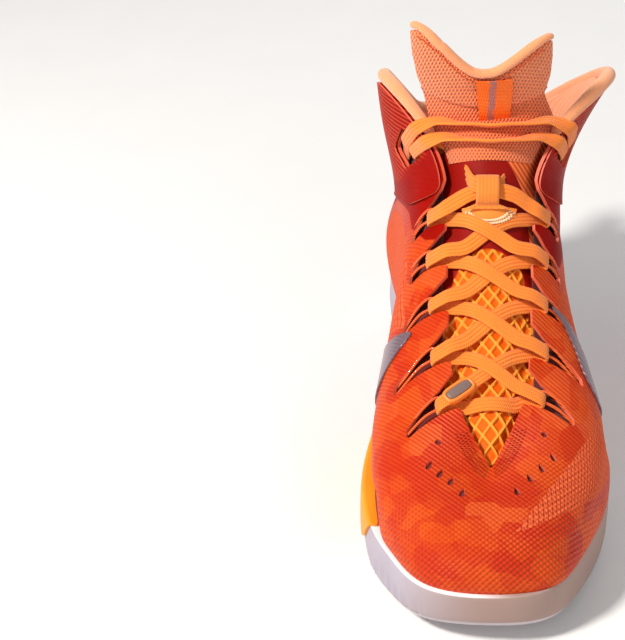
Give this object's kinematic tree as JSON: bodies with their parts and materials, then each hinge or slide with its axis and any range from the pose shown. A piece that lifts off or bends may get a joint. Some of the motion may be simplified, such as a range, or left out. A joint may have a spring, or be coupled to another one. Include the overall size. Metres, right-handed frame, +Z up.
{
  "type": "basketball high top",
  "caption": "Laced high-top sports shoe with cupped foam sole, fused mesh upper, cable lace loops, lattice tongue and padded winged collar.",
  "frame": {"origin": "on the ground under the middle of the shoe's box", "axes": "+X to the outer side of the foot, -Y to the toe, +Z up"},
  "size_m": [0.112, 0.3, 0.2075],
  "materials": {
    "outsole_rubber": "fine moulded herringbone",
    "white_midsole": "smooth moulded foam, satin",
    "foam_core": "matte foam",
    "strobel_board": "stitched fibre board",
    "sockliner": "knit over foam",
    "shank_plate": "satin",
    "red_orange_shell": "film fused on ridged textile, satin",
    "deep_red_shell": "film fused on mesh, satin",
    "heel_shell": "satin",
    "eyestay_film": "satin",
    "lining": "knit",
    "padding": "open-cell foam",
    "stiffener": "matte",
    "heel_clip": "satin",
    "silver_flash": "metallic satin",
    "peach_piping": "padded knit",
    "lattice_foam": "moulded diamond lattice",
    "tongue_mesh": "spacer mesh",
    "tongue_stripe": "woven",
    "keeper_webbing": "webbing",
    "lace_weave": "flat ribbed weave",
    "aglet_plastic": "gloss",
    "lace_tag": "satin",
    "grey_inlay": "satin",
    "pull_webbing": "webbing",
    "cable_red": "braided cable"
  },
  "bodies": {
    "shoe": {"achilles_pad": "padding", "aglet_a": "aglet_plastic", "aglet_b": "aglet_plastic", "cable_loop_lateral_1": "cable_red", "cable_loop_lateral_2": "cable_red", "cable_loop_lateral_3": "cable_red", "cable_loop_lateral_4": "cable_red", "cable_loop_lateral_5": "cable_red", "cable_loop_medial_1": "cable_red", "cable_loop_medial_2": "cable_red", "cable_loop_medial_3": "cable_red", "cable_loop_medial_4": "cable_red", "cable_loop_medial_5": "cable_red", "collar_pad_lateral": "padding", "collar_pad_medial": "padding", "collar_rim": "peach_piping", "eyestay_lateral": "eyestay_film", "eyestay_medial": "eyestay_film", "foam_core": "foam_core", "heel_counter": "heel_clip", "heel_panel": "heel_shell", "heel_stiffener": "stiffener", "keeper_patch": "keeper_webbing", "lace": "lace_weave", "lining_lateral": "lining", "lining_medial": "lining", "midsole_carrier": "white_midsole", "outsole": "outsole_rubber", "quarter_lateral": "deep_red_shell", "quarter_medial": "deep_red_shell", "shank_plate": "shank_plate", "side_flash_lateral": "silver_flash", "side_flash_medial": "silver_flash", "strobel_board": "strobel_board", "toe_box": "red_orange_shell", "toe_puff": "stiffener", "tongue_body": "lattice_foam", "tongue_keeper": "keeper_webbing", "tongue_lining": "lining"},
    "tongue_upper": {"tongue_top": "tongue_mesh", "tongue_binding": "peach_piping", "tongue_stripe": "tongue_stripe"},
    "insole": {"sockliner": "sockliner"},
    "heel_tab": {"pull_tab": "pull_webbing"},
    "tag": {"lace_tag": "lace_tag", "lace_tag_inlay": "grey_inlay"}
  },
  "joints": [
    {"name": "tongue_tilt", "type": "hinge", "parent": "shoe", "child": "tongue_upper", "pos_m": [-0.004, 0.0255, 0.1635], "axis": [1, 0, 0], "range_deg": [-12, 30], "stiffness_Nm_per_rad": 0.08},
    {"name": "sockliner_lift", "type": "hinge", "parent": "shoe", "child": "insole", "pos_m": [0, -0.132, 0.0235], "axis": [1, 0, 0], "range_deg": [0, 6]},
    {"name": "pull_tab_flip", "type": "hinge", "parent": "shoe", "child": "heel_tab", "pos_m": [-0.004, 0.14, 0.113], "axis": [-1, 0, 0], "range_deg": [-4, 45], "stiffness_Nm_per_rad": 0.01},
    {"name": "lace_tag_slide", "type": "slide", "parent": "shoe", "child": "tag", "axis": [0.7241, 0.6454, 0.2433], "range_m": [-0.0008, 0.003]}
  ]
}
